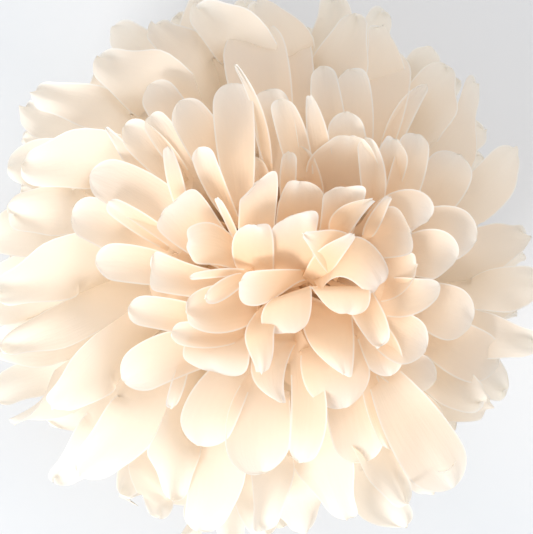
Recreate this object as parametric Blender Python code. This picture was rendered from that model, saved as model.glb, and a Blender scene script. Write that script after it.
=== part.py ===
"""Tissue paper pom pom: ten pleated sheets of tissue, tied at the waist with wire and fluffed into a ball.

Each sheet is one piece of paper. Its two ends are cut round through the whole folded pack, so every pleat
ends in a petal, and the pleats of each end are spread into a half circle and drawn up or down into a cup.
The ball stands on a table with its flower upwards, and the petals under it are pressed flat.
"""

import math
import random

import bmesh
import bpy
from mathutils import Matrix, Vector

# Sizes that can be changed, in metres
SHEET_COUNT = 10
PANELS = 13               # pleats across each sheet, and petals on each of its ends
SHEET_LENGTH = 0.300      # petal tip to petal tip, along the folds
PLEAT_WIDTH = 0.039
NOTCH_DEPTH = 0.038       # how far the round cut runs down each fold from the tips
PETAL_WIDTH = 0.030       # across a petal, which the cut makes narrower than its pleat
PAPER = 0.0004            # wall of a sheet
LAYER_GAP = 0.0004        # clearance between two sheets in the tied waist
PLEATS_OPEN_BY = 0.42     # share of a fan's length by which its pleats have their full width
WAIST_WIDTH = 0.0096      # width of the bunched paper under the wire
HUB_RADIUS = 0.0062       # where the fans of the first and last sheets leave the waist
HUB_STEP = 0.0010         # how much further out each sheet nearer the middle leaves it
WIRE_DIAMETER = 0.0009
WIRE_GAP = 0.0003         # clearance between the wire and the paper
TAIL_LENGTH = 0.018       # twisted ends of the wire
TWIST_PITCH = 0.006
FLOOR_DROP = 0.127        # from the wire down to the table
TABLE_CLEARANCE = 0.0012  # between the table and the petals that the ball doesn't rest on

# Angles in degrees. A sheet leaves the waist steeper than its place in the ball, then turns over
TOP_SHEET_ANGLE = 11.0    # the first sheet, from straight up; the last one is as far from straight down
INWARD_BEND = 12.0
TOP_TIP_ANGLE = 60.0      # where the tips of the first sheet point, from straight up
TABLE_TIP_ANGLE = 102.0   # and those of the last sheet, which the table bends outwards
STRAIGHT_SHARE = 0.62     # of a fan's length, before it turns over
TIP_ANGLE_POWER = 1.4     # how soon the tips of the other sheets come round to level

# How loosely the paper was fluffed, as shares of the space between two sheets or of a pleat
PETAL_OPENING = 0.85      # how far a petal turns from its pleat towards lying flat
PETAL_PARTING = 0.27      # how far alternate petals lean out of the sheet, one up and the next one down
TIP_CURL = 0.22
TIP_STRAY = 0.17
FOLD_STRAY = 0.07
SIDE_STRAY = 0.08
SHORTEST_PETAL = 0.84
CUP_DEPTH = 0.07
PETAL_ROOM = 0.44         # how far to each side of its middle line a petal may reach, as a share of the pleat
THICKEST_WALL = 0.55      # of a sheet measured straight up through its pleats
STEADY_POLES = 1.0        # how much less the sheets near the poles stray than the ones between
DRIFT = 0.0032            # most that the finished ball is pushed out of true, twice over
DRIFT_START = 0.30        # where the drift begins, as a share of the ball's radius
DRIFT_WAVE = 0.72         # its wavelength, as a share of the ball's radius
DRIFT_PHASES = (1.3, 2.9)
SWIRL = 0.15              # turn of the outer petals round the pole, in radians
SWIRL_WAVE = 2.6          # how fast the turn changes with height, in radians for each radius of the ball
SWIRL_PHASE = 0.5
FLUFF_SEED = 7

FAN_LENGTH = SHEET_LENGTH / 2
SLIT_HALF = WIRE_DIAMETER + 1.5 * WIRE_GAP
LAYER_PITCH = PAPER + LAYER_GAP
STACK_HALF = (SHEET_COUNT - 1) / 2 * LAYER_PITCH
BALL_RADIUS = 0.93 * FAN_LENGTH
CORE_RADIUS = 0.8 * HUB_RADIUS
# Rows of points from the waist out to the notch, as shares of the length of a fan
ROWS = (0.0, 0.11, 0.54, 1 - NOTCH_DEPTH / FAN_LENGTH)
# Outline of a petal past the notch: share of the pleat's width, share of the notch's depth
PETAL_OUTLINE = [((1 - math.cos(a)) / 2, math.sin(a) ** 0.8) for a in map(math.radians, (36, 72, 108, 144))]


def sheet_angle(q):
    """Angle from straight up of the sheet at place q in the pack; 0 is the top sheet."""
    share = q / (SHEET_COUNT - 1)
    return math.radians(TOP_SHEET_ANGLE + (180 - 2 * TOP_SHEET_ANGLE) * share)


def end_angles(q):
    """Angles from straight up of layer q where it leaves the waist and at its tips."""
    angle = sheet_angle(q)
    first = angle - math.radians(INWARD_BEND) * math.sin(2 * angle)
    level = math.pi / 2
    above = (level - angle) / (level - math.radians(TOP_SHEET_ANGLE))
    last_tip = math.radians(TOP_TIP_ANGLE if above > 0 else TABLE_TIP_ANGLE)
    return first, level + (last_tip - level) * abs(above) ** TIP_ANGLE_POWER


def profile(q, s):
    """Distance from the pole and height of layer q, a length s out from the waist: a line, then an arc."""
    middle = (SHEET_COUNT - 1) / 2
    first, last = end_angles(q)
    straight = min(s, STRAIGHT_SHARE * FAN_LENGTH)
    r = HUB_RADIUS + HUB_STEP * (middle - abs(q - middle)) + straight * math.sin(first)
    z = STACK_HALF - q * LAYER_PITCH + straight * math.cos(first)
    bend = (last - first) / (FAN_LENGTH * (1 - STRAIGHT_SHARE))
    rest = s - straight
    if abs(bend) * FAN_LENGTH < 1e-4:
        return r + rest * math.sin(first), z + rest * math.cos(first)
    here = first + bend * rest
    return (r + (math.cos(first) - math.cos(here)) / bend,
            z + (math.sin(here) - math.sin(first)) / bend)


def layer_spacing(q, s):
    """Distance between two neighbouring layers there."""
    r1, z1 = profile(q - 0.25, s)
    r2, z2 = profile(q + 0.25, s)
    return 2 * math.hypot(r2 - r1, z2 - z1)


def pleat_chord(q, s):
    """Distance along the fan from one fold to the next."""
    return math.pi * profile(q, s)[0] / PANELS


def pleat(q, s):
    """Half depth of the pleats of layer q, and the slope of their sides, at a length s from the waist."""
    chord = pleat_chord(q, s)
    opened = min(1.0, s / (PLEATS_OPEN_BY * FAN_LENGTH))
    width = chord + (max(PLEAT_WIDTH, 1.02 * chord) - chord) * math.sin(opened * math.pi / 2)
    depth = math.sqrt(max(width * width - chord * chord, 0.0)) / 2
    depth = min(depth, 0.9 * max(profile(q, s)[0] - CORE_RADIUS, 0.0))
    return depth, math.atan2(2 * depth, chord)


def spread(point):
    """How far the paper is spread open there: 0 on the pole, where the pleats stay shut, and 1 at its widest."""
    return (point.x ** 2 + point.y ** 2) / max(point.length_squared, CORE_RADIUS ** 2)


def drifted(point, phase):
    """A gentle push out of true, two waves each way, that grows from the tie outwards."""
    along = (point.length / BALL_RADIUS - DRIFT_START) / (0.9 - DRIFT_START)
    along = min(max(along, 0.0), 1.0)
    grow = along * along * (3 - 2 * along) * DRIFT * spread(point)
    above_table = min(1.0, max(0.0, 1 + point.z / FLOOR_DROP))
    x, y, z = point * math.tau / (DRIFT_WAVE * BALL_RADIUS)
    push = Vector((
        math.sin(y + phase) + 0.6 * math.sin(1.7 * z + 2 * phase),
        math.sin(z + 3 * phase) + 0.6 * math.sin(1.7 * x + 4 * phase),
        math.sin(x + 5 * phase) * above_table,
    ))
    return point + push * grow


def fluffed(point):
    """Where a point of the evenly spread ball ends up, turned and pushed out of true."""
    share = point.length / BALL_RADIUS
    wave = math.sin(SWIRL_WAVE * point.z / BALL_RADIUS + SWIRL_PHASE)
    point = Matrix.Rotation(SWIRL * share * share * spread(point) * wave, 3, "Z") @ point
    for phase in DRIFT_PHASES:
        point = drifted(point, phase)
    return point


def place(q, s, turn, side):
    """A point of the pack: layer q, length s out from the waist, turn 0 to 1 across the fan on that side."""
    r, z = profile(q, s)
    r = max(r, CORE_RADIUS)
    half_angle = math.pi / 2 - math.asin(min(SLIT_HALF / r, 0.9))
    azimuth = (2 * turn - 1) * half_angle + (0 if side > 0 else math.pi)
    return fluffed(Vector((r * math.cos(azimuth), r * math.sin(azimuth), z)))


def both_faces(q, s, turn, slope, side, layer):
    """The two points, one on each face of the paper, where sheet number layer passes place q."""
    wall = min(PAPER / (layer_spacing(layer, s) * max(math.cos(slope), 0.1)), THICKEST_WALL)
    return [place(q + sign * wall / 2, s, turn, side) for sign in (-1, 1)]


def fold_sign(k, side):
    """Whether fold k is on top of its pleats or under them. The same fold runs on to the sheet's other end."""
    return 1 if (k if side > 0 else PANELS - k) % 2 == 0 else -1


def petal_outline(layer, k, side, before, after, loose):
    """The rim of petal k past its notch. It leans out of the sheet, opens as far as it has room and curls."""
    upward = fold_sign(k, side)
    room = math.sin(sheet_angle(layer)) ** STEADY_POLES
    lift = loose.uniform(-TIP_STRAY, TIP_STRAY) * room
    sway = loose.uniform(-SIDE_STRAY, SIDE_STRAY) / PANELS * room
    reach = loose.uniform(SHORTEST_PETAL, 1.0)
    outward = max(-1.0, min(1.0, 3 * math.cos(sheet_angle(layer))))
    notch = before[1]
    _, closed = pleat(layer, notch)
    outline = []
    for across, along in PETAL_OUTLINE:
        s = notch + NOTCH_DEPTH * along * reach
        chord = pleat_chord(layer, s)
        spacing = layer_spacing(layer, s)
        offset = (across - 0.5) * PETAL_WIDTH
        widest = PETAL_ROOM * chord * math.sqrt(abs(2 * across - 1))
        slope = max(closed * (1 - PETAL_OPENING * along), math.acos(min(1.0, widest / abs(offset))))
        lean = (upward * PETAL_PARTING + lift) * along + TIP_CURL * outward * along * along
        q = (before[0] + after[0]) / 2 + lean - upward * offset * math.sin(slope) / spacing
        turn = (k + 0.5) / PANELS + offset * math.cos(slope) / (chord * PANELS) + sway * along
        outline.append((q, s, turn, slope))
    return outline


def fan_lines(layer, side, loose):
    """One fan as (q, s, turn, slope): its fold lines, and the middle line and outline of each petal."""
    folds = []
    for k in range(PANELS + 1):
        stray = loose.uniform(-FOLD_STRAY, FOLD_STRAY)
        line = []
        for row in ROWS:
            s = row * FAN_LENGTH
            depth, slope = pleat(layer, s)
            q = layer + fold_sign(k, side) * depth / layer_spacing(layer, s) + stray * row
            line.append((q, s, k / PANELS, slope))
        folds.append(line)
    petals = []
    for k in range(PANELS):
        before, after = folds[k], folds[k + 1]
        cup = CUP_DEPTH * fold_sign(k, side)
        middle = []
        for row, share in ((2, 0.0), (3, 1.0)):
            q = (before[row][0] + after[row][0]) / 2 + cup * share
            middle.append((q, before[row][1], (k + 0.5) / PANELS, before[row][3]))
        petals.append((middle, petal_outline(layer, k, side, before[3], after[3], loose)))
    return folds, petals


def is_foot(layer, k, side):
    """Whether the ball rests on this petal: it does on every fourth petal of the last sheet."""
    along_pack = k if side > 0 else PANELS - k
    return layer == SHEET_COUNT - 1 and along_pack % 4 == 2


class PaperMesh:
    """A mesh of one sheet, built from pairs of points, with both faces and the cut edge between them."""

    def __init__(self):
        self.mesh = bmesh.new()

    def lines(self, layer, side, loose):
        """The fold lines of one fan, and the middle line and outline of each of its petals."""
        folds, petals = fan_lines(layer, side, loose)
        fold_pairs = [[self.pair(both_faces(*p, side, layer)) for p in line] for line in folds]
        petal_pairs = []
        for k, (middle, outline) in enumerate(petals):
            laid = self.flat_pair if is_foot(layer, k, side) else self.pair
            middle_pairs = [self.pair(both_faces(*middle[0], side, layer)),
                            laid(both_faces(*middle[1], side, layer))]
            outline_pairs = [laid(both_faces(*p, side, layer)) for p in outline]
            petal_pairs.append((middle_pairs, outline_pairs))
        return fold_pairs, petal_pairs

    def pair(self, points):
        """Both faces of the paper at one place, no lower than just above the table."""
        lowest = min(points[0].z, points[1].z)
        lift = max(0.0, TABLE_CLEARANCE - FLOOR_DROP - lowest)
        return [self.mesh.verts.new(p + Vector((0, 0, lift))) for p in points]

    def flat_pair(self, points):
        """The same where the paper lies flat on the table. Its second face is the lower one there."""
        x, y, _ = (points[0] + points[1]) / 2
        return [self.mesh.verts.new((x, y, z - FLOOR_DROP)) for z in (PAPER, 0.0)]

    def face(self, pairs):
        self.mesh.faces.new([p[0] for p in pairs])
        self.mesh.faces.new([p[1] for p in reversed(pairs)])

    def edge(self, pairs):
        for a, b in zip(pairs, pairs[1:]):
            self.mesh.faces.new((a[1], b[1], b[0], a[0]))


def panel_faces(paper, before, after, middle, outline):
    """One pleat and its petal, between two fold lines, in triangles that lie alike on every sheet."""
    inner, outer = middle
    rim = [before[3], *outline, after[3]]
    triangles = [
        (before[0], before[1], after[0]), (after[0], before[1], after[1]),
        (before[1], before[2], inner), (before[1], inner, after[1]), (after[1], inner, after[2]),
        (before[2], before[3], outer), (before[2], outer, inner),
        (after[2], inner, outer), (after[2], outer, after[3]),
    ]
    triangles += [(a, b, outer) for a, b in zip(rim, rim[1:])]
    for corners in triangles:
        paper.face(corners)
    paper.edge(rim[::-1])


def tissue_sheet(layer):
    """One whole sheet: the bunched waist and the two pleated fans that leave it."""
    loose = random.Random(FLUFF_SEED * 100 + layer)
    paper = PaperMesh()
    arcs, corners = [], []
    for side in (1, -1):
        folds, petals = paper.lines(layer, side, loose)
        for before, after, (middle, outline) in zip(folds, folds[1:], petals):
            panel_faces(paper, before, after, middle, outline)
        paper.edge(folds[0])
        paper.edge(folds[-1][::-1])
        heights = [v.co.z for v in folds[0][0]]
        arcs.append([line[0] for line in folds])
        corners.append([paper.pair([Vector((x, side * WAIST_WIDTH / 2, z)) for z in heights])
                        for x in (side * SLIT_HALF, -side * SLIT_HALF)])
    for this, following in ((0, 1), (1, 0)):
        paper.edge([arcs[following][0], *corners[this][::-1], arcs[this][-1]])
    paper.face((arcs[0] + corners[0] + arcs[1] + corners[1])[::-1])
    bmesh.ops.recalc_face_normals(paper.mesh, faces=paper.mesh.faces)
    return paper.mesh


def wire_path():
    """Centre line of the wire: one twisted end, round the waist, and the other end twisted with the first."""
    radius = WIRE_DIAMETER / 2
    side_y = WAIST_WIDTH / 2 + WIRE_GAP + radius
    strand = radius + 0.1 * WIRE_GAP
    tail_start = side_y + 3.2 * WIRE_DIAMETER
    steps = 22
    out = []
    for k in range(steps + 1):
        along = TAIL_LENGTH * k / steps
        turn = math.tau * along / TWIST_PITCH
        out.append(Vector((strand * math.sin(turn), tail_start + along, strand * math.cos(turn))))
    back = [Vector((-p.x, p.y, -p.z)) for p in out]
    corner = Vector((0, WAIST_WIDTH / 2, STACK_HALF + PAPER / 2))
    over = [Vector((0, side_y + 0.4 * radius, 0.45 * corner.z))]
    for angle in (0, math.pi / 4, math.pi / 2):
        over.append(corner + (WIRE_GAP + radius) * Vector((0, math.cos(angle), math.sin(angle))))
    over += [Vector((0, -p.y, p.z)) for p in reversed(over[1:])]
    under = [Vector((p.x, p.y, -p.z)) for p in reversed(over)]
    return out[::-1] + over + under + back


def finish(name, colour, roughness, metallic):
    material = bpy.data.materials.new(name)
    material.use_nodes = True
    shader = material.node_tree.nodes["Principled BSDF"]
    shader.inputs["Base Color"].default_value = (*colour, 1)
    shader.inputs["Roughness"].default_value = roughness
    shader.inputs["Metallic"].default_value = metallic
    return material


def add_wire(parent):
    curve = bpy.data.curves.new("wire_tie", "CURVE")
    curve.dimensions = "3D"
    curve.bevel_depth = WIRE_DIAMETER / 2
    curve.bevel_resolution = 1
    curve.use_fill_caps = True
    points = wire_path()
    spline = curve.splines.new("POLY")
    spline.points.add(len(points) - 1)
    for target, point in zip(spline.points, points):
        target.co = (*point, 1)
    wire = bpy.data.objects.new("wire_tie", curve)
    bpy.context.scene.collection.objects.link(wire)
    wire.parent = parent
    curve.materials.append(finish("florist_wire", (0.62, 0.60, 0.56), 0.35, 1.0))


def add_sheets(parent):
    sheets = []
    for layer in range(SHEET_COUNT):
        name = f"tissue_sheet_{layer + 1:02d}"
        mesh = bpy.data.meshes.new(name)
        built = tissue_sheet(layer)
        built.to_mesh(mesh)
        built.free()
        sheet = bpy.data.objects.new(name, mesh)
        bpy.context.scene.collection.objects.link(sheet)
        sheet.parent = parent
        deepen = 0.02 * layer / SHEET_COUNT
        mesh.materials.append(finish(name, (0.93 - deepen, 0.80 - deepen, 0.66 - deepen), 0.85, 0.0))
        sheets.append(sheet)
    return sheets


def main():
    for old in list(bpy.data.objects):
        bpy.data.objects.remove(old, do_unlink=True)
    pom_pom = bpy.data.objects.new("pom_pom", None)
    bpy.context.scene.collection.objects.link(pom_pom)
    sheets = add_sheets(pom_pom)
    add_wire(pom_pom)
    corners = [v.co for sheet in sheets for v in sheet.data.vertices]
    low = [min(c[axis] for c in corners) for axis in range(3)]
    high = [max(c[axis] for c in corners) for axis in range(3)]
    pom_pom.location = (-(low[0] + high[0]) / 2, -(low[1] + high[1]) / 2, -low[2])


main()
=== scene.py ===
# Tissue paper pom pom: the look of the paper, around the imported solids.
# Every sheet is laid out by the same folding as its solid, with fine petals in place of the coarse ones.

import math
import random

import bpy
import numpy as np
from mathutils import Matrix, Vector


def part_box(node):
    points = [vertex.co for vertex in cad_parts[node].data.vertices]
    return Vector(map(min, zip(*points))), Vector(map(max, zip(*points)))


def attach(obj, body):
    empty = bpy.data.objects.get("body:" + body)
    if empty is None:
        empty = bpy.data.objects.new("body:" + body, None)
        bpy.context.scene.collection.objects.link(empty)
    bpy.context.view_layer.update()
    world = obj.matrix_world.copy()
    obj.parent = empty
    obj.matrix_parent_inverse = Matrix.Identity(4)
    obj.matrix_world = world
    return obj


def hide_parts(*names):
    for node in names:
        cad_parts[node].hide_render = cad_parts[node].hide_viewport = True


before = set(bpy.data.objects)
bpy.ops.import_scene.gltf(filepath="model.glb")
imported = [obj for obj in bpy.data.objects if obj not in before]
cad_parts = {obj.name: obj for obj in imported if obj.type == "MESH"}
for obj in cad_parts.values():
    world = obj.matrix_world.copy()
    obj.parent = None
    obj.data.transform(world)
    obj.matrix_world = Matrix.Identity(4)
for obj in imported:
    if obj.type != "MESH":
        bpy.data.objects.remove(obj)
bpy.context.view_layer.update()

# the folded pack, in metres and degrees
pack = {
    "sheets": 10,
    "pleats": 13,
    "fanLength": 0.150,
    "pleatWidth": 0.039,
    "notchDepth": 0.038,
    "layerPitch": 0.0008,
    "hubRadius": 0.0062,
    "hubStep": 0.0010,
    "coreRadius": 0.00496,
    "slitHalf": 0.00135,
    "waistWidth": 0.0096,
    "wireGap": 0.0003,
    "wireDiameter": 0.0009,
    "floorDrop": 0.127,
    "topSheetAngle": 11.0,
    "inwardBend": 12.0,
    "topTipAngle": 60.0,
    "tableTipAngle": 102.0,
    "tipAnglePower": 1.4,
    "straightShare": 0.62,
    "pleatsOpenBy": 0.42,
    "leastSlack": 1.02,
    "deepestShare": 0.9,
    "drift": 0.0032,
    "driftStart": 0.30,
    "driftEnd": 0.9,
    "driftWave": 0.72,
    "driftPhases": (1.3, 2.9),
    "driftRipple": (0.6, 1.7),
    "swirl": 0.15,
    "swirlWave": 2.6,
    "swirlPhase": 0.5,
    "ballShare": 0.93,
}
ballRadius = pack["ballShare"] * pack["fanLength"]

# where the camera stands over the ball and how it is turned, in degrees and metres, its lens and film in mm,
# and the picture's width and height in pixels
view = {
    "elevation": 81.0,
    "azimuth": -90.0,
    "roll": 57.0,
    "distance": 0.70,
    "lens": 84.0,
    "film": 36,
    "picture": (533, 534),
    "aim": (0.0, 0.0, 0.140),
}

# each lamp's direction from the aim is given as shares back, right and up as the camera sees them
light = {
    "window": {"from": (0.85, -0.65, -0.95), "away": 2.0, "size": 0.9, "power": 36.0, "colour": (1, 0.98, 0.95)},
    "roomFill": {"from": (1, 0.6, 0.9), "away": 1.6, "size": 1.6, "power": 4.5, "colour": (1, 0.94, 0.84)},
}
world = {"strength": 0.74, "colour": (0.95, 0.97, 1.0)}


def screenAxes():
    elevation, azimuth = math.radians(view["elevation"]), math.radians(view["azimuth"])
    back = Vector((math.cos(elevation) * math.cos(azimuth), math.cos(elevation) * math.sin(azimuth),
                   math.sin(elevation)))
    right = Vector((0, 0, 1)).cross(back).normalized()
    up = back.cross(right)
    turn = Matrix.Rotation(math.radians(view["roll"]), 3, back)
    return turn @ right, turn @ up, back


# the petals past the notches: what one rule gives to the sheets that the camera doesn't see well
petals = {
    "seed": 11,
    "sheetsAt": (0, 0.9, 1.9, 3.0, 3.95, 5, 6, 7, 8, 9),  # each sheet's place in the pack
    "handPlaced": 3,  # sheets from the top whose petals follow the photograph
    "foldStray": 0.05,  # how far a fold wanders up or down by the tips, in sheets
    "foldBulge": 0.06,  # how far a pleat swells between its folds, in sheets
    "rowsCrowd": 0.9,
    "parting": 0.27,  # up or down from the sheet, in sheets
    "tipCurl": 0.12,
    "tipStray": 0.16,
    "sideStray": 0.28,  # in pleats
    "reach": (0.80, 1.12),  # of the notch depth
    "underReach": 0.94,  # the sheet right under the listed ones keeps below them
    "underParting": (1.05, 0.6),
    "opening": (0.66, 1.10),  # how much of the pleat's slope a petal loses
    "twist": 26,
    "turnedShare": 0.12,  # this share of the petals is turned on edge, by so many degrees
    "turned": (40, 70),
    "upright": (0.1, 0.75),  # from lying along the sheet to pointing away from the tie
    "lastStep": (0.10, 0.004),  # in sheets and metres, from which the tip's direction is read
    "sideStep": (0.01, 0.05),  # in turns and sheets, from which its sideways directions are read
    "faces": (0.3, 0.05),  # how little its upper side follows the ball outward, and how much it looks up
    "width": (0.42, 0.64),  # of a pleat
    "slimmer": 0.9,
    "roundness": (1.9, 2.8),
    "roundEnd": (0.75, 1.25),
    "roll": (0.5, 1.9),  # across the petal, in radians
    "rollEase": 0.45,
    "rollSink": 0.6,
    "hollow": 0.78,  # this share is hollow above, and the others roll outward by less
    "outwardRoll": 0.6,
    "lean": 0.34,
    "leanFrom": 0.45,
    "tipBend": (-0.5, 1.1),
    "bendFrom": 0.5,
    "turnedBy": 1.15,
    "rimWave": 0.0023,  # ruffles and uneven ends, in metres
    "waveShare": (0.4, 1.5),
    "waveTurns": (3.4, 2),
    "tipNick": 0.0013,
    "nickWaves": (4.1, 7.3),
    "nickSecond": 0.7,
    "nickFrom": 0.6,
    "endCrowd": 0.95,
}


def hubPlace():
    # middle of the tie, read from the wire's own solid
    low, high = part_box("wire_tie")
    y = low[1] + pack["waistWidth"] / 2 + pack["wireGap"] + pack["wireDiameter"]
    return np.array(((low[0] + high[0]) / 2, y, (low[2] + high[2]) / 2))


def sheetAngle(q):
    start = math.radians(pack["topSheetAngle"])
    return start + (math.pi - 2 * start) * q / (pack["sheets"] - 1)


def profile(q, s):
    # distance from the pole and height of layer q, a length s out from the waist: a line, then an arc
    q, s = np.broadcast_arrays(np.asarray(q, float), np.asarray(s, float))
    middle = (pack["sheets"] - 1) / 2
    angle = sheetAngle(q)
    first = angle - math.radians(pack["inwardBend"]) * np.sin(2 * angle)
    level = math.pi / 2
    above = (level - angle) / (level - math.radians(pack["topSheetAngle"]))
    lastTip = np.where(above > 0, math.radians(pack["topTipAngle"]), math.radians(pack["tableTipAngle"]))
    last = level + (lastTip - level) * np.abs(above) ** pack["tipAnglePower"]
    straight = np.minimum(s, pack["straightShare"] * pack["fanLength"])
    r = pack["hubRadius"] + pack["hubStep"] * (middle - np.abs(q - middle)) + straight * np.sin(first)
    z = middle * pack["layerPitch"] - q * pack["layerPitch"] + straight * np.cos(first)
    bend = (last - first) / (pack["fanLength"] * (1 - pack["straightShare"]))
    bend = np.where(np.abs(bend) < 1e-3, 1e-3, bend)
    here = first + bend * (s - straight)
    return r + (np.cos(first) - np.cos(here)) / bend, z + (np.sin(here) - np.sin(first)) / bend


def layerSpacing(q, s):
    r1, z1 = profile(q - 0.25, s)
    r2, z2 = profile(q + 0.25, s)
    return 2 * np.hypot(r2 - r1, z2 - z1)


def pleat(q, s):
    # half depth of the pleats and the slope of their sides
    chord = math.pi * profile(q, s)[0] / pack["pleats"]
    opened = np.minimum(1.0, s / (pack["pleatsOpenBy"] * pack["fanLength"]))
    full = np.maximum(pack["pleatWidth"], pack["leastSlack"] * chord)
    width = chord + (full - chord) * np.sin(opened * math.pi / 2)
    depth = np.sqrt(np.maximum(width * width - chord * chord, 0.0)) / 2
    depth = np.minimum(depth, pack["deepestShare"] * np.maximum(profile(q, s)[0] - pack["coreRadius"], 0.0))
    return depth, np.arctan2(2 * depth, chord)


def fluffed(points):
    # the evenly spread ball, turned round its pole and pushed gently out of true
    def spread(p):
        squares = (p ** 2).sum(-1)
        return (p[..., 0] ** 2 + p[..., 1] ** 2) / np.maximum(squares, pack["coreRadius"] ** 2)

    share = np.linalg.norm(points, axis=-1) / ballRadius
    wave = np.sin(pack["swirlWave"] * points[..., 2] / ballRadius + pack["swirlPhase"])
    turn = pack["swirl"] * share * share * spread(points) * wave
    x, y, z = points[..., 0], points[..., 1], points[..., 2]
    points = np.stack((x * np.cos(turn) - y * np.sin(turn), x * np.sin(turn) + y * np.cos(turn), z), -1)
    start, end = pack["driftStart"], pack["driftEnd"]
    small, fast = pack["driftRipple"]
    for phase in pack["driftPhases"]:
        along = (np.linalg.norm(points, axis=-1) / ballRadius - start) / (end - start)
        along = np.clip(along, 0.0, 1.0)
        grow = along * along * (3 - 2 * along) * pack["drift"] * spread(points)
        aboveTable = np.clip(1 + points[..., 2] / pack["floorDrop"], 0.0, 1.0)
        x, y, z = np.moveaxis(points, -1, 0) * math.tau / (pack["driftWave"] * ballRadius)
        push = np.stack((
            np.sin(y + phase) + small * np.sin(fast * z + 2 * phase),
            np.sin(z + 3 * phase) + small * np.sin(fast * x + 4 * phase),
            np.sin(x + 5 * phase) * aboveTable,
        ), -1)
        points = points + push * grow[..., None]
    return points


def place(q, s, turn, side):
    # a point of the pack: layer q, length s from the waist, turn 0 to 1 across the fan on that side
    r, z = profile(q, s)
    r = np.maximum(r, pack["coreRadius"])
    halfAngle = math.pi / 2 - np.arcsin(np.minimum(pack["slitHalf"] / r, 0.9))
    azimuth = (2 * np.asarray(turn) - 1) * halfAngle + (0 if side > 0 else math.pi)
    return fluffed(np.stack(np.broadcast_arrays(r * np.cos(azimuth), r * np.sin(azimuth), z), -1))


def foldSign(k, side):
    return 1 if (k if side > 0 else pack["pleats"] - k) % 2 == 0 else -1


def unit(v):
    return v / np.maximum(np.linalg.norm(v, axis=-1, keepdims=True), 1e-9)


# points across a pleat, from one fold to the next, and rows along it
acrossPleat = np.linspace(-1, 1, 13)
rowsBelow = 12
rowsPast = 18
paperAbove = 0.0004  # the lowest paper over the table
noRim = 0.02  # below the notches there is no cut edge, so none is near


def foldStray(layer, side):
    loose = random.Random(f"folds {petals['seed']} {layer} {side}")
    return [loose.uniform(-petals["foldStray"], petals["foldStray"]) for _ in range(pack["pleats"] + 1)]


def pleatRows(layer, k, side, strays, notch):
    # the pleat between two folds, from the waist out to the notch
    sign = foldSign(k, side)
    rows = []
    for s in np.linspace(0, 1, rowsBelow + 1) ** petals["rowsCrowd"] * notch:
        depth, _ = pleat(layer, s)
        share = (acrossPleat + 1) / 2
        grow = s / pack["fanLength"]
        stray = (strays[k] * (1 - share) + strays[k + 1] * share) * grow
        bulge = petals["foldBulge"] * sign * grow * (1 - acrossPleat ** 2)
        q = layer - sign * acrossPleat * depth / layerSpacing(layer, s) + stray + bulge
        rows.append(place(q, s, (k + share) / pack["pleats"], side))
    return np.array(rows)


def generalTarget(layer, k, side, notch, loose):
    # where a petal's tip stands, how its paper arrives there and which way it faces
    sign = foldSign(k, side)
    angle = sheetAngle(layer)
    room = math.sin(angle) ** 0.5
    outward = max(-1.0, min(1.0, 3 * math.cos(angle)))
    under = layer == petals["sheetsAt"][petals["handPlaced"]]
    reach = loose.uniform(*petals["reach"]) * (petals["underReach"] if under else 1)
    tip = notch + (pack["fanLength"] - notch) * reach
    q = layer + sign * petals["parting"] + loose.uniform(-1, 1) * petals["tipStray"] * room
    if under:
        down, apart = petals["underParting"]
        q = layer + petals["parting"] * (down + apart * sign)
    q += petals["tipCurl"] * outward
    turn = (k + 0.5 + loose.uniform(-1, 1) * petals["sideStray"] * room) / pack["pleats"]
    top = place(q, tip, turn, side)
    back, short = petals["lastStep"]
    near = place(q - back * outward, tip - short, turn, side)
    _, slope = pleat(layer, notch)
    tilt = slope * (1 - loose.uniform(*petals["opening"]))
    turnStep, layerStep = petals["sideStep"]
    turnWay = unit(place(q, tip, turn + turnStep, side) - top)
    layerWay = unit(place(q + layerStep, tip, turn, side) - top)
    twist = petals["twist"]
    if loose.random() < petals["turnedShare"] and not under:
        twist = loose.uniform(*petals["turned"])
    tilt += math.radians(twist * loose.choice((-1, 1)) * (1 if twist > petals["twist"] else loose.random()))
    cross = math.cos(tilt) * turnWay - sign * math.sin(tilt) * layerWay
    hollow = loose.random() < petals["hollow"]
    upright = loose.uniform(*petals["upright"])
    level, lift = petals["faces"]
    return {
        "tip": top,
        "up": unit(top * np.array((level, level, 1)) + np.array((0, 0, lift))),
        "arrive": unit(unit(top - near) * (1 - upright) + unit(top) * upright),
        "cross": cross,
        "nick": (loose.uniform(0, math.tau), loose.uniform(0, math.tau)),
        "width": loose.uniform(*petals["width"]) * petals["slimmer"],
        "roll": loose.uniform(*petals["roll"]) * (1 if hollow else -petals["outwardRoll"]),
        "blunt": [loose.uniform(*petals["roundness"]) for _ in range(2)],
        "lean": loose.uniform(-1, 1) * petals["lean"],
        "tipBend": loose.uniform(*petals["tipBend"]),
        "wave": loose.uniform(*petals["waveShare"]) * petals["rimWave"],
        "phase": loose.uniform(0, math.tau),
    }


def rounded(t, share, blunt):
    # the share of its width that a petal keeps: all of it, up to its round end
    inEnd = np.clip((t - (1 - share)) / share, 0.0, 1.0)
    return (1 - inEnd ** blunt) ** (1 / blunt)


def rowAt(row):
    # the share of its length at which a row of the petal lies: they crowd towards the round end
    return math.sin(row / rowsPast * math.pi / 2) ** petals["endCrowd"]


def past(t, start):
    return max(0.0, t - start)


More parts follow.
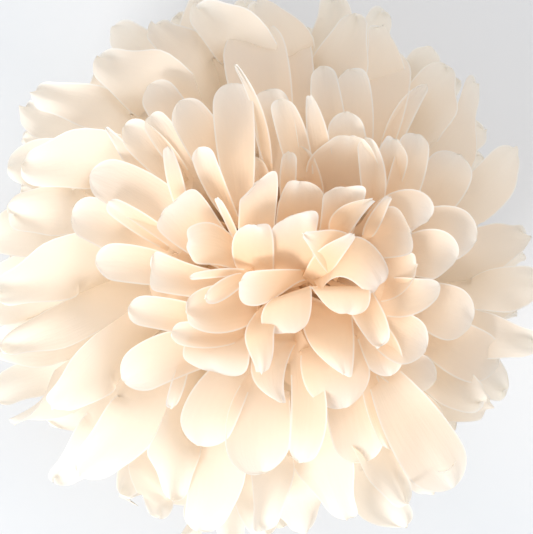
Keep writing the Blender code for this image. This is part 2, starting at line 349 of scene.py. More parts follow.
def petalRows(base, target):
    # the tongue from the notch to its tip, on a curved middle line, rolled lengthwise
    left, right = base[-1][0], base[-1][-1]
    middle = base[-1][len(acrossPleat) // 2]
    leave = unit(base[-1] - base[-2]).mean(0)
    startCross = right - left
    halfWidth = pack["pleatWidth"] / 2
    startWidth = np.linalg.norm(startCross) / 2
    startCross = startCross / (2 * startWidth)
    endCross = target["cross"]
    if np.dot(startCross, endCross) < 0:
        endCross = -endCross
    tip, arrive = target["tip"], target["arrive"]
    pull = np.linalg.norm(tip - middle)
    mostRound, asLong = petals["roundEnd"]
    share = min(mostRound, asLong * target["width"] * halfWidth / pull)
    slow, fast = petals["nickWaves"]
    nick = np.sin(slow * acrossPleat + target["nick"][0])
    nick = nick + petals["nickSecond"] * np.sin(fast * acrossPleat + target["nick"][1])
    ripples, runOut = petals["waveTurns"]
    rows, fromEdge = [], []
    for row in range(1, rowsPast + 1):
        t = rowAt(row)
        outline = np.where(acrossPleat < 0, *[rounded(t, share, blunt) for blunt in target["blunt"]])
        h00, h10 = 2 * t ** 3 - 3 * t ** 2 + 1, t ** 3 - 2 * t ** 2 + t
        h01, h11 = 3 * t ** 2 - 2 * t ** 3, t ** 3 - t ** 2
        centre = h00 * middle + h10 * pull * leave + h01 * tip + h11 * pull * arrive
        centre = centre + endCross * target["lean"] * halfWidth * past(t, petals["leanFrom"]) ** 2
        d00, d10 = 6 * t * t - 6 * t, 3 * t * t - 4 * t + 1
        d01, d11 = 6 * t - 6 * t * t, 3 * t * t - 2 * t
        ahead = unit(d00 * middle + d10 * pull * leave + d01 * tip + d11 * pull * arrive)
        blend = min(1.0, t * petals["turnedBy"])
        blend = blend * blend * (3 - 2 * blend)
        cross = unit(startCross * (1 - blend) + endCross * blend)
        cross = unit(cross - ahead * np.dot(cross, ahead))
        facing = np.cross(cross, ahead)
        if np.dot(facing, target["up"]) < 0:
            facing = -facing
        width = (startWidth * (1 - blend) + target["width"] * halfWidth * blend) * outline
        halfRoll = abs(target["roll"]) / 2 * blend * (1 - petals["rollEase"] * t) + 1e-3
        side = width / halfRoll * np.sin(acrossPleat * halfRoll)
        rise = width / halfRoll * (np.cos(petals["rollSink"] * halfRoll) - np.cos(acrossPleat * halfRoll))
        rise *= math.copysign(1, target["roll"])
        wave = target["wave"] * t * np.sin(ripples * acrossPleat + target["phase"] + runOut * t) * blend
        bend = -target["tipBend"] * halfWidth * past(t, petals["bendFrom"]) ** 2
        uneven = petals["tipNick"] * past(t, petals["nickFrom"]) / (1 - petals["nickFrom"]) * nick * outline
        centre = centre + uneven[:, None] * ahead
        rows.append(centre + side[:, None] * cross + (rise + wave + bend)[:, None] * facing)
        fromEdge.append((1 - np.abs(acrossPleat)) * width)
    return np.array(rows), fromEdge


# how the listed petals are drawn: the ball's round outline, the lines' widening and the rims' unevenness
drawn = {
    "outline": 0.146,
    "ringWiden": 1.1,
    "corner": 0.6,
    "sideCorner": 0.3,
    "mostRound": 0.7,
    "swell": 0.35,
    "growFrom": 0.25,
    "ripple": 1.1,
    "rippleTurns": 5,
    "nicks": (2.0, 1.3),
    "pixelsPerMetre": 2100,
    "step": 0.02,
    "sortedAt": 0.08,  # metres from the waist, where pleats and petals are put in order
    "pleatShare": 0.34,  # the first share of a pleat that stays where the folding puts it
    "pleatEase": 1.5,
}

# the petals round the pole as the photograph shows them: the sheet that each belongs to, its middle line from
# where it comes into sight to its tip, as pixels of the 533 by 534 picture with the height over the tie in mm,
# its width in pixels along that line, how much higher its right side is and how hollow it is, both in mm
seen = {
    "blade": (1, ((241, 250, 116), (229, 222, 126), (217, 198, 132)), (6, 8, 6), 3, 0),
    "longTongue": (1, ((238, 228, 112), (215, 186, 122), (200, 147, 128)), (10, 22, 22), 5, 2),
    "smallTip": (1, ((288, 205, 114), (288, 178, 124), (290, 152, 130)), (14, 17, 14), 1, 2),
    "shyTip": (1, ((264, 200, 106), (258, 178, 116), (251, 156, 122)), (20, 24, 18), -2, 3),
    "shyRight": (1, ((312, 205, 106), (306, 178, 116), (299, 146, 121)), (26, 30, 18), 2, 2),
    "thinLeft": (1, ((250, 272, 122), (220, 273, 128), (190, 277, 130)), (5, 9, 6), 5, 0),
}

# the petals whose folds and corners show best: both of their side lines from the base to the tip, in pixels,
# the height over the tie along them, and how hollow each is and how much higher its second side is, in mm
sidesSeen = {
    "uprightLeft": (1, ((241, 276), (232, 254), (234, 236), (243, 225)),
        ((274, 276), (274, 254), (273, 236), (267, 225)), (110, 130, 140, 145), -2, 2),
    "broadFront": (1, ((272, 280), (273, 254), (272, 238), (272, 221)),
        ((320, 284), (314, 260), (316, 234), (321, 207)), (106, 124, 135, 143), 1.5, 0),
    "backRound": (1, ((274, 250), (276, 218), (280, 198), (290, 181)),
        ((327, 250), (326, 218), (325, 197), (311, 182)), (104, 120, 129, 135), 3, 0),
    "foldedTip": (1, ((236, 268), (238, 232), (239, 207), (241, 198)),
        ((278, 262), (275, 225), (278, 190), (274, 165)), (100, 126, 138, 138), 2, 2),
    "leftLobe": (1, ((244, 276), (216, 265), (198, 264), (188, 252)),
        ((242, 244), (223, 228), (206, 222), (188, 230)), (112, 126, 131, 132), -2, 2),
    "curledCup": (1, ((317, 246), (320, 224), (322, 206), (323, 188)),
        ((350, 242), (357, 222), (363, 204), (368, 186)), (112, 124, 130, 133), 8, 0),
    "spoon": (1, ((346, 238), (355, 226), (365, 212), (373, 202)),
        ((330, 236), (332, 215), (349, 203), (371, 198)), (120, 131, 136, 138), 4, -2),
    "twisted": (1, ((362, 240), (366, 222), (377, 205), (386, 196)),
        ((370, 238), (379, 228), (387, 210), (393, 198)), (120, 127, 131, 132), 0, 4),
    "leftPointing": (1, ((336, 282), (320, 264), (311, 250), (302, 237)),
        ((360, 246), (342, 231), (322, 230), (305, 231)), (124, 136, 141, 145), 0, 3),
    "brightBand": (1, ((303, 276), (316, 253), (331, 242), (350, 233)),
        ((320, 292), (334, 269), (346, 252), (357, 236)), (120, 134, 141, 144), 1, -4),
    "whiteCap": (1, ((350, 238), (365, 239), (381, 254), (389, 275)),
        ((320, 292), (338, 277), (355, 283), (370, 295)), (132, 139, 138, 129), -4, -3),
    "horizontal": (1, ((310, 281), (290, 288), (264, 304), (236, 299)),
        ((306, 270), (285, 269), (262, 270), (242, 272)), (116, 126, 129, 128), 1, 7),
    "droopRight": (1, ((314, 294), (311, 287), (321, 300), (336, 313)),
        ((364, 297), (369, 287), (370, 301), (357, 314)), (108, 130, 129, 122), -2, 0),
    "droopDown": (1, ((278, 308), (270, 300), (261, 318), (277, 333)),
        ((306, 302), (311, 287), (311, 312), (300, 333)), (108, 130, 127, 118), -3, 2),
    "longDown": (1, ((264, 304), (245, 332), (249, 353), (256, 374)),
        ((288, 314), (275, 328), (274, 346), (268, 372)), (110, 124, 120, 113), -2, 0),
    "lowerRight": (1, ((344, 298), (352, 316), (363, 334), (374, 350)),
        ((371, 288), (381, 306), (389, 326), (387, 343)), (110, 120, 124, 120), 4, 2),
    "lowerLarge": (1, ((301, 316), (306, 337), (317, 354), (336, 371)),
        ((351, 308), (354, 334), (354, 356), (351, 378)), (108, 118, 121, 116), -3, 0),
    "largeLeft": (1, ((228, 272), (196, 258), (170, 241), (151, 222)),
        ((243, 248), (223, 226), (208, 203), (191, 186)), (106, 118, 124, 127), 3, 2),
    "leftCup": (1, ((257, 320), (235, 331), (210, 333), (189, 323)),
        ((247, 286), (222, 284), (200, 289), (184, 301)), (108, 118, 122, 123), 6, 2),
    "leftSpoon": (1, ((249, 279), (239, 289), (222, 301), (207, 302)),
        ((246, 273), (228, 276), (212, 286), (204, 295)), (122, 127, 129, 129), 2, 3),
    "leftBroad": (2, ((238, 296), (205, 298), (175, 295), (151, 291)),
        ((240, 272), (205, 268), (175, 258), (151, 249)), (102, 113, 118, 121), 4, 2),
    "wideLowerLeft": (2, ((208, 312), (190, 334), (183, 350), (185, 364)),
        ((260, 318), (251, 344), (249, 362), (241, 379)), (100, 112, 116, 113), 3, 0),
    "lowerMiddle": (2, ((262, 340), (251, 364), (256, 385), (277, 402)),
        ((298, 340), (289, 358), (284, 380), (286, 403)), (100, 111, 112, 108), -2, -3),
    "rightBroad": (2, ((360, 240), (377, 215), (392, 206), (408, 218)),
        ((368, 260), (390, 258), (404, 256), (415, 251)), (106, 119, 123, 124), 6, 0),
    "rightLow": (2, ((376, 256), (395, 253), (408, 252), (416, 255)),
        ((376, 302), (393, 299), (407, 289), (417, 273)), (102, 113, 117, 118), 4, 0),
    "upperRight": (2, ((320, 212), (306, 170), (318, 149), (337, 135)),
        ((368, 212), (379, 186), (377, 160), (362, 137)), (98, 114, 121, 124), 7, 0),
    "rightTongue": (2, ((374, 210), (375, 172), (378, 152), (388, 136)),
        ((392, 206), (404, 177), (408, 158), (402, 142)), (98, 112, 118, 121), 4, 0),
}


# the next two rings, whose middle lines are given by how deep they lie under the ball's round outline, in mm
ringSeen = {
    "lowLeft": (2, ((224, 328, 30), (176, 316, 18), (128, 309, 8)), (24, 30, 26), 3, 4),
    "lowLeftUnder": (2, ((248, 326, 30), (210, 334, 18), (172, 332, 10)), (20, 26, 18), 0, 3),
    "whiteSliver": (2, ((186, 356, 26), (178, 384, 10), (170, 408, 5)), (8, 13, 9), 3, 0),
    "curledLower": (2, ((303, 360, 28), (309, 418, 10), (298, 462, 6)), (24, 33, 22), -4, 2),
    "wideLower": (2, ((328, 342, 28), (336, 372, 16), (344, 408, 14)), (50, 62, 44), 0, -3),
    "lowerSliver": (2, ((366, 368, 24), (379, 414, 8), (391, 448, 4)), (14, 20, 11), 4, 0),
    "lowerRightCup": (2, ((368, 326, 26), (382, 352, 14), (389, 376, 10)), (26, 34, 26), 0, 2),
    "starRight": (2, ((378, 322, 26), (402, 338, 12), (426, 350, 7)), (32, 46, 34), 0, 4),
    "pointedRight": (2, ((384, 296, 26), (412, 296, 12), (440, 285, 5)), (34, 34, 12), 2, 2),
    "archRight": (2, ((372, 232, 28), (402, 212, 12), (430, 218, 8)), (26, 40, 34), -2, 2),
    "rightSteep": (2, ((392, 220, 28), (408, 172, 12), (416, 134, 7)), (26, 32, 24), 0, 4),
    "upperRightEdge": (2, ((372, 214, 28), (373, 176, 13), (364, 138, 7)), (14, 24, 14), 2, 3),
    "brightTop": (2, ((324, 172, 28), (317, 132, 10), (310, 96, 4)), (18, 19, 6), 4, 1),
    "foldedTop": (2, ((304, 186, 28), (293, 138, 12), (279, 99, 6)), (18, 27, 18), -3, 3),
    "topBlade": (2, ((266, 176, 26), (259, 116, 8), (235, 65, 3)), (12, 10, 4), 3, 0),
    "tallTongue": (2, ((242, 216, 30), (236, 150, 11), (232, 83, 5)), (18, 35, 36), 0, 4),
    "curledTip": (2, ((226, 190, 30), (204, 140, 12), (178, 102, 6)), (24, 38, 28), -4, 3),
    "whiteBlade": (2, ((184, 214, 28), (175, 180, 9), (167, 147, 3)), (10, 15, 8), 4, 0),
    "jaggedLeft": (2, ((172, 244, 28), (138, 222, 12), (108, 203, 5)), (16, 20, 14), 3, 1),
    "longLeft": (3, ((194, 238, 30), (140, 196, 13), (90, 174, 7)), (40, 46, 34), 0, 4),
    "thinTriangle": (3, ((156, 194, 28), (130, 158, 11), (106, 128, 3)), (22, 14, 4), 3, 0),
    "leftUpper": (3, ((184, 186, 30), (153, 151, 14), (124, 126, 7)), (22, 32, 26), 0, 4),
    "leftUpperEdge": (3, ((192, 178, 30), (169, 142, 14), (150, 116, 7)), (18, 26, 20), 0, 4),
    "leftOver": (3, ((160, 262, 30), (112, 228, 14), (72, 214, 7)), (30, 42, 32), 0, 5),
    "paleUpper": (3, ((200, 160, 34), (172, 116, 18), (150, 84, 10)), (26, 36, 30), 0, 3),
    "largeTop": (3, ((272, 150, 34), (260, 84, 14), (250, 24, 8)), (36, 58, 52), 0, 2),
    "topRightOfIt": (3, ((300, 140, 34), (296, 80, 16), (292, 22, 9)), (26, 34, 28), 0, 5),
    "roundTop": (3, ((286, 186, 30), (276, 134, 15), (266, 90, 8)), (26, 38, 32), 2, 4),
    "twinLeft": (3, ((338, 165, 32), (328, 112, 14), (323, 66, 7)), (26, 30, 20), 0, 4),
    "twinRight": (3, ((354, 165, 32), (355, 112, 14), (350, 69, 7)), (30, 34, 28), 0, 4),
    "roundBehind": (3, ((350, 172, 30), (347, 140, 13), (345, 112, 8)), (40, 36, 28), 0, 3),
    "wideTop": (3, ((368, 165, 34), (380, 100, 16), (383, 48, 9)), (30, 50, 50), 0, 5),
    "curvedBlade": (3, ((384, 168, 30), (402, 118, 12), (427, 85, 5)), (14, 20, 8), 3, 2),
    "rightPair": (3, ((420, 218, 32), (443, 182, 14), (458, 154, 7)), (30, 46, 32), 0, 5),
    "rightFull": (3, ((412, 240, 30), (446, 234, 13), (475, 243, 7)), (40, 52, 38), 0, 5),
    "rightMiddle": (3, ((405, 258, 28), (432, 254, 13), (456, 260, 8)), (34, 46, 36), 0, 4),
    "rightLower": (3, ((420, 300, 30), (447, 312, 14), (472, 322, 8)), (36, 50, 40), 0, 4),
    "wideCurl": (3, ((374, 350, 30), (404, 368, 15), (436, 380, 9)), (24, 38, 28), 0, 4),
    "rightTip": (3, ((430, 332, 28), (466, 352, 9), (498, 366, 2)), (36, 50, 40), 0, 4),
    "greatTongue": (3, ((378, 368, 26), (416, 430, -3), (453, 488, -13)), (24, 56, 52), 0, 3),
    "paleLower": (3, ((344, 384, 30), (355, 424, 15), (363, 462, 8)), (38, 48, 42), 0, 4),
    "paleMiddle": (3, ((268, 384, 30), (258, 430, 14), (262, 474, 8)), (42, 60, 46), 0, 4),
    "paleLeft": (3, ((236, 372, 30), (212, 410, 14), (200, 446, 8)), (36, 50, 40), 0, 4),
    "lowLeftWide": (3, ((212, 346, 30), (164, 358, 15), (124, 382, 8)), (34, 44, 36), 0, 5),
    "leftMiddle": (3, ((172, 272, 30), (132, 264, 13), (95, 261, 7)), (28, 35, 31), 0, 4),
}


def screenWay(angle):
    # the level direction in the scene that points this way in the picture
    right, up, _ = screenAxes()
    way = right * math.cos(math.radians(angle)) + up * math.sin(math.radians(angle))
    return unit(np.array((way.x, way.y, 0.0)))


def atPixel(pixel, height, hub):
    # the point at this height over the tie that the camera sees at this pixel
    right, up, back = screenAxes()
    eye = Vector(view["aim"]) + back * view["distance"]
    wide, high = view["picture"]
    scale = view["film"] / view["lens"] / high
    ray = right * (pixel[0] - wide / 2) * scale + up * (high / 2 - pixel[1]) * scale - back
    return np.array(eye + ray * ((height / 1000 + hub[2] - eye.z) / ray.z)) - hub


def underOutline(pixel, depth, hub):
    # the height at which the ball, this much smaller, is seen at a pixel
    height = 100.0
    for _ in range(12):  # enough tries for it to settle
        spot = atPixel(pixel, height, hub)
        height = 1000 * math.sqrt(max((drawn["outline"] - depth / 1000) ** 2 - spot[0] ** 2 - spot[1] ** 2, 1e-4))
    return height


def allSeen(hub):
    # every petal that is placed by the photograph, as its middle line, the lines to its sides and its heights
    lines = dict(seen)
    for name, (sheet, line, wide, tilt, hollow) in ringSeen.items():
        line = [(u, v, underOutline((u, v), depth, hub)) for u, v, depth in line]
        lines[name] = (sheet, line, [w * drawn["ringWiden"] for w in wide], tilt, hollow)
    found = {}
    for name, (sheet, line, wide, tilt, hollow) in lines.items():
        found[name] = {"sheet": sheet, "line": line, "wide": wide, "tilt": tilt, "hollow": hollow,
                       "corner": drawn["corner"]}
    for name, (sheet, one, other, heights, hollow, tilt) in sidesSeen.items():
        line = [((a[0] + b[0]) / 2, (a[1] + b[1]) / 2, h) for a, b, h in zip(one, other, heights)]
        half = [((b[0] - a[0]) / 2, (b[1] - a[1]) / 2) for a, b in zip(one, other)]
        found[name] = {"sheet": sheet, "line": line, "half": half, "tilt": tilt, "hollow": hollow,
                       "corner": drawn["sideCorner"]}
    return found


def along(values, t):
    # a smooth line through evenly spaced values
    values, count = np.asarray(values, float), len(values) - 1
    total = np.zeros(values.shape[1:])
    for i, value in enumerate(values):
        share = 1.0
        for j in range(count + 1):
            if j != i:
                share *= (t * count - j) / (i - j)
        total = total + share * value
    return total


def seenRow(petal, t, outline, wave, hub):
    # a section of a petal, from one side to the other as the camera sees it
    step = drawn["step"]
    middle, ahead = along(petal["line"], t), along(petal["line"], t + step) - along(petal["line"], t - step)
    ahead = ahead[:2] / math.hypot(ahead[0], ahead[1])
    if "half" in petal:
        half = along(petal["half"], t)
    else:
        half = np.array((-ahead[1], ahead[0])) * along(petal["wide"], t) / 2
    grow = min(1.0, drawn["growFrom"] + 2 * t)
    lift, nick = wave
    row = []
    for x, out, push in zip(acrossPleat, outline * np.ones(len(acrossPleat)), nick * np.ones(len(acrossPleat))):
        height = middle[2] + x * out * petal["tilt"] / 2 * grow + lift * x * x * t
        height += petal["hollow"] * (x * x - drawn["swell"]) * out * grow
        row.append(atPixel(middle[:2] + half * x * out + ahead * push * out, height, hub))
    return np.array(row), (1 - np.abs(acrossPleat)) * math.hypot(*half) * outline / drawn["pixelsPerMetre"]


def seenRows(petal, hub, loose):
    sharp = "half" in petal
    blunt = [loose.uniform(*petals["roundness"]) + sharp for _ in range(2)]
    phase = loose.uniform(0, math.tau)
    slow, fast = petals["nickWaves"]
    strong, weak = drawn["nicks"]
    nick = np.sin(slow * acrossPleat + loose.uniform(0, math.tau))
    nick = strong * nick + weak * np.sin(fast * acrossPleat + loose.uniform(0, math.tau))
    line = petal["line"]
    length = math.dist(line[0][:2], line[-1][:2])
    wide = 2 * math.hypot(*petal["half"][-1]) if sharp else petal["wide"][-1]
    share = min(drawn["mostRound"], petal["corner"] * wide / length)
    rows, fromEdge = [], []
    for row in range(1, rowsPast + 1):
        t = rowAt(row)
        outline = np.where(acrossPleat < 0, *[rounded(t, share, b) for b in blunt])
        lift = drawn["ripple"] * math.sin(phase + drawn["rippleTurns"] * t)
        push = nick * past(t, petals["nickFrom"]) / (1 - petals["nickFrom"])
        points, edge = seenRow(petal, t, outline, (lift, push), hub)
        rows.append(points)
        fromEdge.append(edge)
    return np.array(rows), fromEdge


def petalOrder(layer, hub):
    # each of these petals goes to a pleat of its sheet, in their order round the pole
    wanted = []
    for name, petal in placed.items():
        if petal["sheet"] == layer + 1:
            first, last = petal["line"][0], petal["line"][-1]
            way = atPixel(first[:2], first[2], hub) + atPixel(last[:2], last[2], hub)
            wanted.append((math.atan2(way[1], way[0]), name))
    wanted.sort()
    places = []
    for side in (1, -1):
        for k in range(pack["pleats"]):
            x, y, _ = place(layer, drawn["sortedAt"], (k + 0.5) / pack["pleats"], side)
            places.append((math.atan2(y, x), (side, k)))
    places.sort()

    def misfit(start):
        gaps = [places[(i + start) % len(places)][0] - wanted[i][0] for i in range(len(wanted))]
        return sum(1 - math.cos(gap) for gap in gaps)

    start = min(range(len(places)), key=misfit)
    return {places[(i + start) % len(places)][1]: wanted[i][1] for i in range(len(wanted))}


def drawnIn(base, end):
    # the pleat's rows, led to where its petal comes into sight
    if np.dot(base[-1][-1] - base[-1][0], end[-1] - end[0]) < 0:
        end = end[::-1]
    share = np.linspace(0, 1, len(base)) - drawn["pleatShare"]
    share = np.maximum(share / share[-1], 0)[:, None, None] ** drawn["pleatEase"]
    return base * (1 - share) + end[None] * share


def waistRow(row, side):
    # the bunched paper inside the wire, level with the start of the fans
    inner = row.copy()
    inner[:, 0] = side * pack["slitHalf"]
    inner[:, 1] *= pack["waistWidth"] / 2 / np.abs(row[:, 1]).max()
    return inner


def sheetMesh(layer, hub):
    notch = pack["fanLength"] - pack["notchDepth"]
    spread = petals["sheetsAt"][layer]
    order = petalOrder(layer, hub) if layer < petals["handPlaced"] else {}
    points, flat, edges, faces, folds, waist = [], [], [], [], [], []
    for side in (1, -1):
        strays = foldStray(layer, side)
        for k in range(pack["pleats"]):
            loose = random.Random(f"petal {petals['seed']} {layer} {side} {k}")
            base = pleatRows(spread, k, side, strays, notch)
            if (side, k) in order:
                petal = placed[order[side, k]]
                end, _ = seenRow(petal, 0.0, 1.0, (0.0, 0.0), hub)
                flip = np.dot(base[-1][-1] - base[-1][0], end[-1] - end[0]) < 0
                base = drawnIn(base, end)
                beyond, fromEdge = seenRows(petal, hub, loose)
                if flip:
                    beyond, fromEdge = beyond[:, ::-1], [edge[::-1] for edge in fromEdge]
            else:
                beyond, fromEdge = petalRows(base, generalTarget(spread, k, side, notch, loose))
            inner = waistRow(base[0], side)
            grid = np.concatenate((inner[None], base, beyond))
            grid[..., 2] = np.maximum(grid[..., 2], paperAbove - hub[2])
            start = len(points)
            rows, columns = grid.shape[:2]
            points.extend(grid.reshape(-1, 3) + hub)
            edges.extend([noRim] * columns * (rows - len(fromEdge)))
            edges.extend(np.array(fromEdge).ravel())
            for row in range(rows):
                out = max(0, row - 1) / (rows - 2) * pack["fanLength"] * side
                for column in range(columns):
                    flat.append(((k + (acrossPleat[column] + 1) / 2) * pack["pleatWidth"], out))
            for row in range(rows - 1):
                for column in range(columns - 1):
                    a = start + row * columns + column
                    faces.append((a, a + 1, a + columns + 1, a + columns))
                if row <= rowsBelow:
                    folds.append((start + row * columns, start + (row + 1) * columns))
            waist.append((side, k, list(range(start, start + columns))))
    # the paper crosses the tie from each pleat to the one facing it
    across = {(side, k): row for side, k, row in waist}
    for k in range(pack["pleats"]):
        here, there = across[1, k], across[-1, pack["pleats"] - 1 - k][::-1]
        for column in range(len(here) - 1):
            faces.append((here[column + 1], here[column], there[column], there[column + 1]))
    return np.array(points), faces, flat, np.array(edges), folds


def welded(points, faces, folds):
    # points that lie together become one, and faces that shrink to a line go
    _, first, where = np.unique(np.round(points, 6), axis=0, return_index=True, return_inverse=True)
    where = where.reshape(-1)
    kept, corners = [], []
    for face in faces:
        loop = [i for n, i in enumerate(face) if where[i] != where[face[n - 1]]]
        if len({int(where[i]) for i in loop}) > 2:
            kept.append([int(where[i]) for i in loop])
            corners.extend(loop)
    return points[first], first, kept, corners, {tuple(sorted((int(where[a]), int(where[b])))) for a, b in folds}


def addSheet(layer, hub, paper):
    name = f"paper_sheet_{layer + 1:02d}"
    points, faces, flat, edges, folds = sheetMesh(layer, hub)
    points, first, faces, corners, folds = welded(points, faces, folds)
    mesh = bpy.data.meshes.new(name)
    mesh.from_pydata([tuple(p) for p in points], [], faces)
    uv = mesh.uv_layers.new(name="flatSheet")
    uv.data.foreach_set("uv", np.array([flat[i] for i in corners]).ravel())
    # how much painted shade this sheet takes
    paintedShadeWeight = mesh.attributes.new("paintedShadeWeight", "FLOAT", "POINT")
    least, more = tissue["paintedShadeWeight"]
    paintedShadeWeight.data.foreach_set("value", [least + more * math.cos(sheetAngle(layer)) ** 2] * len(points))
    # distance from the cut edge, for the painted rim highlight
    rim = mesh.attributes.new("fromEdge", "FLOAT", "POINT")
    rim.data.foreach_set("value", edges[first])
    mesh.polygons.foreach_set("use_smooth", [True] * len(mesh.polygons))
    for edge in mesh.edges:
        edge.use_edge_sharp = tuple(sorted(edge.vertices)) in folds
    sheet = bpy.data.objects.new(name, mesh)
    bpy.context.scene.collection.objects.link(sheet)
    mesh.materials.append(paper)
    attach(sheet, "root")
    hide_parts(f"tissue_sheet_{layer + 1:02d}")


# colours and finish of the tissue, with lengths along the flat sheet in metres; the peach deep in the ball is
# painted shade and the near-white cut edges are a painted highlight
tissue = {
    "tip": (0.985, 0.973, 0.935),
    # painted shade: the warm peach of light bounced deep inside the ball
    "paintedPeachShade": (0.985, 0.72, 0.49),
    # painted highlight along the cut edges
    "rim": (1.0, 0.985, 0.95),
    "through": (1.0, 0.92, 0.79),
    "throughShare": 0.43,
    "paintedShadeWeight": (0.24, 0.76),  # painted shade on every sheet, and what the ones near the poles have on top
    "paleFrom": 0.143,
    "paintedShadeFrom": 0.076,
    "rimWhite": 0.85,
    "rimInner": 0.0002,
    "rimOuter": 0.0010,
    "cloudScale": 38,
    "lineScale": (260, 34, 1),
    "fibreScale": 1400,
    "fibreShare": 0.14,
    "roughness": 0.7,
    "sheen": 0.25,
    "creases": 0.2,
    "creaseHeight": 0.0012,
}


def ranged(nodes, links, value, fromRange, toRange):
    # maps one value to another, the same way in every material
    node = nodes.new("ShaderNodeMapRange")
    for socket, number in zip(("From Min", "From Max", "To Min", "To Max"), (*fromRange, *toRange)):
        node.inputs[socket].default_value = number
    links.new(value, node.inputs["Value"])
    return node


def noise(nodes, links, place, scale, detail=2):
    node = nodes.new("ShaderNodeTexNoise")
    node.inputs["Scale"].default_value = scale
    node.inputs["Detail"].default_value = detail
    links.new(place, node.inputs["Vector"])
    return node.outputs["Fac"]


def mixed(nodes, links, factor, first, second):
    mix = nodes.new("ShaderNodeMix")
    mix.data_type = "RGBA"
    links.new(factor, mix.inputs["Factor"])
    for socket, value in ((6, first), (7, second)):
        if isinstance(value, tuple):
            mix.inputs[socket].default_value = (*value, 1)
        else:
            links.new(value, mix.inputs[socket])
    return mix.outputs[2]


def toneGroup():
    # painted shade where the paper is deep in the ball, a painted highlight at a cut edge, and light creases
    group = bpy.data.node_groups.new("tissueTone", "ShaderNodeTree")
    for name, kind in (("PaperAndPaintedLight", "NodeSocketColor"), ("Glow", "NodeSocketColor"), ("Creases", "NodeSocketFloat")):
        group.interface.new_socket(name, in_out="OUTPUT", socket_type=kind)
    nodes, links = group.nodes, group.links
    out = nodes.new("NodeGroupOutput")
    uv = nodes.new("ShaderNodeUVMap")
    uv.uv_map = "flatSheet"

    def maths(operation, first, second, third=None):
        node = nodes.new("ShaderNodeMath")
        node.operation = operation
        for socket, value in zip(node.inputs, (first, second, third)):
            if isinstance(value, bpy.types.NodeSocket):
                links.new(value, socket)
            elif value is not None:
                socket.default_value = value
        return node.outputs[0]

    # painted shade: peach where the paper is far from its tip, deep in the ball, most near the poles
    parts = nodes.new("ShaderNodeSeparateXYZ")
    links.new(uv.outputs[0], parts.inputs[0])
    far = maths("ABSOLUTE", parts.outputs["Y"], None)
    paintedPeachShade = ranged(nodes, links, far, (tissue["paleFrom"], tissue["paintedShadeFrom"]), (0.0, 1.0))
    paintedPeachShade.interpolation_type = "SMOOTHSTEP"
    paintedShadeWeight = nodes.new("ShaderNodeAttribute")
    paintedShadeWeight.attribute_name = "paintedShadeWeight"
    paintedShadeMask = maths("MULTIPLY", paintedShadeWeight.outputs["Fac"], paintedPeachShade.outputs[0])
    body = mixed(nodes, links, paintedShadeMask, tissue["tip"], tissue["paintedPeachShade"])

    # painted highlight: the cut edge is nearly white, where light catches the thin paper
    edge = nodes.new("ShaderNodeAttribute")
    edge.attribute_name = "fromEdge"
    rimAt = (tissue["rimInner"], tissue["rimOuter"])
    rim = ranged(nodes, links, edge.outputs["Fac"], rimAt, (tissue["rimWhite"], 0.0))

    # soft waves, fine lines along the pleats and the fibres
    cloud = noise(nodes, links, uv.outputs[0], tissue["cloudScale"], 3)
    stretch = nodes.new("ShaderNodeMapping")
    stretch.inputs["Scale"].default_value = tissue["lineScale"]
    links.new(uv.outputs[0], stretch.inputs["Vector"])
    lines = noise(nodes, links, stretch.outputs[0], 1, 4)
    fibre = noise(nodes, links, uv.outputs[0], tissue["fibreScale"])
    height = maths("MULTIPLY_ADD", fibre, tissue["fibreShare"], lines)
    links.new(mixed(nodes, links, rim.outputs[0], body, tissue["rim"]), out.inputs["PaperAndPaintedLight"])
    links.new(mixed(nodes, links, rim.outputs[0], tissue["through"], tissue["rim"]), out.inputs["Glow"])
    links.new(maths("ADD", height, cloud), out.inputs["Creases"])
    return group


def tissuePaper():
    material = bpy.data.materials.new("creamTissue")
    material.use_nodes = True
    nodes, links = material.node_tree.nodes, material.node_tree.links
    tone = nodes.new("ShaderNodeGroup")
    tone.node_tree = toneGroup()
    bump = nodes.new("ShaderNodeBump")
    bump.inputs["Strength"].default_value = tissue["creases"]
    bump.inputs["Distance"].default_value = tissue["creaseHeight"]
    links.new(tone.outputs["Creases"], bump.inputs["Height"])
    shader = nodes["Principled BSDF"]
    shader.inputs["Roughness"].default_value = tissue["roughness"]
    shader.inputs["Specular IOR Level"].default_value = tissue["sheen"]
    through = nodes.new("ShaderNodeBsdfTranslucent")
    mix = nodes.new("ShaderNodeMixShader")
    mix.inputs[0].default_value = tissue["throughShare"]
    links.new(tone.outputs["PaperAndPaintedLight"], shader.inputs["Base Color"])
    links.new(tone.outputs["Glow"], through.inputs["Color"])
    links.new(bump.outputs[0], shader.inputs["Normal"])
    links.new(bump.outputs[0], through.inputs["Normal"])
    links.new(shader.outputs[0], mix.inputs[1])
    links.new(through.outputs[0], mix.inputs[2])
    links.new(mix.outputs[0], nodes["Material Output"].inputs["Surface"])
    return material


# drawn florist's wire with a little tarnish
wire = {
    "bright": (0.66, 0.64, 0.60),
    "tarnished": (0.48, 0.46, 0.42),
    "patches": 420,
    "patchRange": (0.3, 0.7),
    "roughness": (0.28, 0.5),
}


def wireMetal():
    material = bpy.data.materials.new("floristWire")
    material.use_nodes = True
    nodes, links = material.node_tree.nodes, material.node_tree.links
    shader = nodes["Principled BSDF"]
    shader.inputs["Metallic"].default_value = 1
    place = nodes.new("ShaderNodeTexCoord")
    tarnish = noise(nodes, links, place.outputs["Object"], wire["patches"])
    links.new(mixed(nodes, links, tarnish, wire["bright"], wire["tarnished"]), shader.inputs["Base Color"])
    rough = ranged(nodes, links, tarnish, wire["patchRange"], wire["roughness"])
    links.new(rough.outputs[0], shader.inputs["Roughness"])
    bpy.data.objects["wire_tie"].material_slots[0].material = material


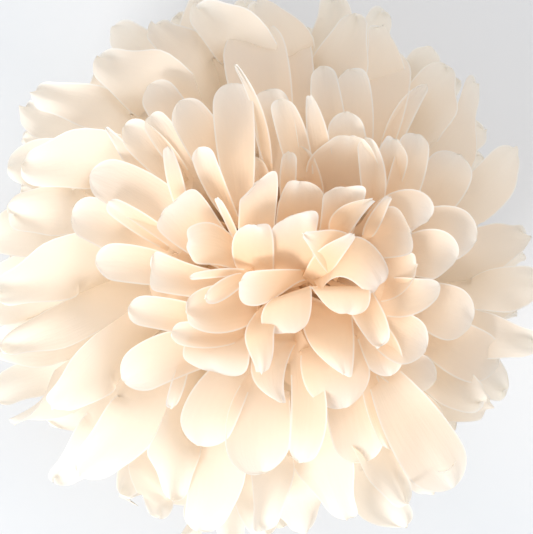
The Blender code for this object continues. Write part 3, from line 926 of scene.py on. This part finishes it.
def addCamera():
    right, up, back = screenAxes()
    data = bpy.data.cameras.new("camera")
    data.lens = view["lens"]
    data.sensor_width = view["film"]
    camera = bpy.data.objects.new("camera", data)
    bpy.context.scene.collection.objects.link(camera)
    place = Vector(view["aim"]) + back * view["distance"]
    camera.matrix_world = Matrix((
        (right.x, up.x, back.x, place.x),
        (right.y, up.y, back.y, place.y),
        (right.z, up.z, back.z, place.z),
        (0, 0, 0, 1)))
    bpy.context.scene.camera = camera


def addLamp(name, lamp):
    right, up, back = screenAxes()
    backShare, rightShare, upShare = lamp["from"]
    way = back * backShare + right * rightShare + up * upShare
    data = bpy.data.lights.new(name, "AREA")
    data.shape = "DISK"
    data.size = lamp["size"]
    data.energy = lamp["power"]
    data.color = lamp["colour"]
    stand = bpy.data.objects.new(name, data)
    bpy.context.scene.collection.objects.link(stand)
    target = Vector(view["aim"])
    stand.location = target + way.normalized() * lamp["away"]
    stand.rotation_euler = (target - stand.location).to_track_quat("-Z", "Y").to_euler()


def addLights():
    for name, lamp in light.items():
        addLamp(name, lamp)
    studio = bpy.data.worlds.new("studio")
    bpy.context.scene.world = studio
    studio.use_nodes = True
    background = studio.node_tree.nodes["Background"]
    background.inputs["Color"].default_value = (*world["colour"], 1)
    background.inputs["Strength"].default_value = world["strength"]


# a matt white table, with painted light: a little paler towards the side away from the window, where its light is
# weaker
table = {
    "shade": (0.72, 0.75, 0.785),
    "paintedLightTone": (0.88, 0.885, 0.90),
    "paleWay": 45,  # degrees anticlockwise from the picture's right
    "paleRange": (0.0, 0.20),
    "grain": 9,
    "roughness": (0.8, 0.95),
    "half": 3,
}


def tableTone():
    material = bpy.data.materials.new("paleTable")
    material.use_nodes = True
    nodes, links = material.node_tree.nodes, material.node_tree.links
    place = nodes.new("ShaderNodeTexCoord")
    away = nodes.new("ShaderNodeVectorMath")
    away.operation = "DOT_PRODUCT"
    away.inputs[1].default_value = tuple(screenWay(table["paleWay"]))
    links.new(place.outputs["Object"], away.inputs[0])
    # painted light: paler towards the side away from the window
    paintedLightMask = ranged(nodes, links, away.outputs["Value"], table["paleRange"], (0.0, 1.0))
    grain = noise(nodes, links, place.outputs["Object"], table["grain"])
    rough = ranged(nodes, links, grain, (0.0, 1.0), table["roughness"])
    shader = nodes["Principled BSDF"]
    links.new(mixed(nodes, links, paintedLightMask.outputs[0], table["shade"], table["paintedLightTone"]), shader.inputs["Base Color"])
    links.new(rough.outputs[0], shader.inputs["Roughness"])
    return material


def addFloor():
    mesh = bpy.data.meshes.new("floor")
    half = table["half"]
    corners = [(-half, -half, 0), (half, -half, 0), (half, half, 0), (-half, half, 0)]
    mesh.from_pydata(corners, [], [(0, 1, 2, 3)])
    floor = bpy.data.objects.new("floor", mesh)
    bpy.context.scene.collection.objects.link(floor)
    mesh.materials.append(tableTone())


hub = hubPlace()
placed = allSeen(hub)
paper = tissuePaper()
for layer in range(pack["sheets"]):
    addSheet(layer, hub, paper)
print("ten sheets of tissue laid out")
wireMetal()
addCamera()
addLights()
addFloor()
bpy.context.scene.view_settings.view_transform = "Standard"
print("camera, light and table set")
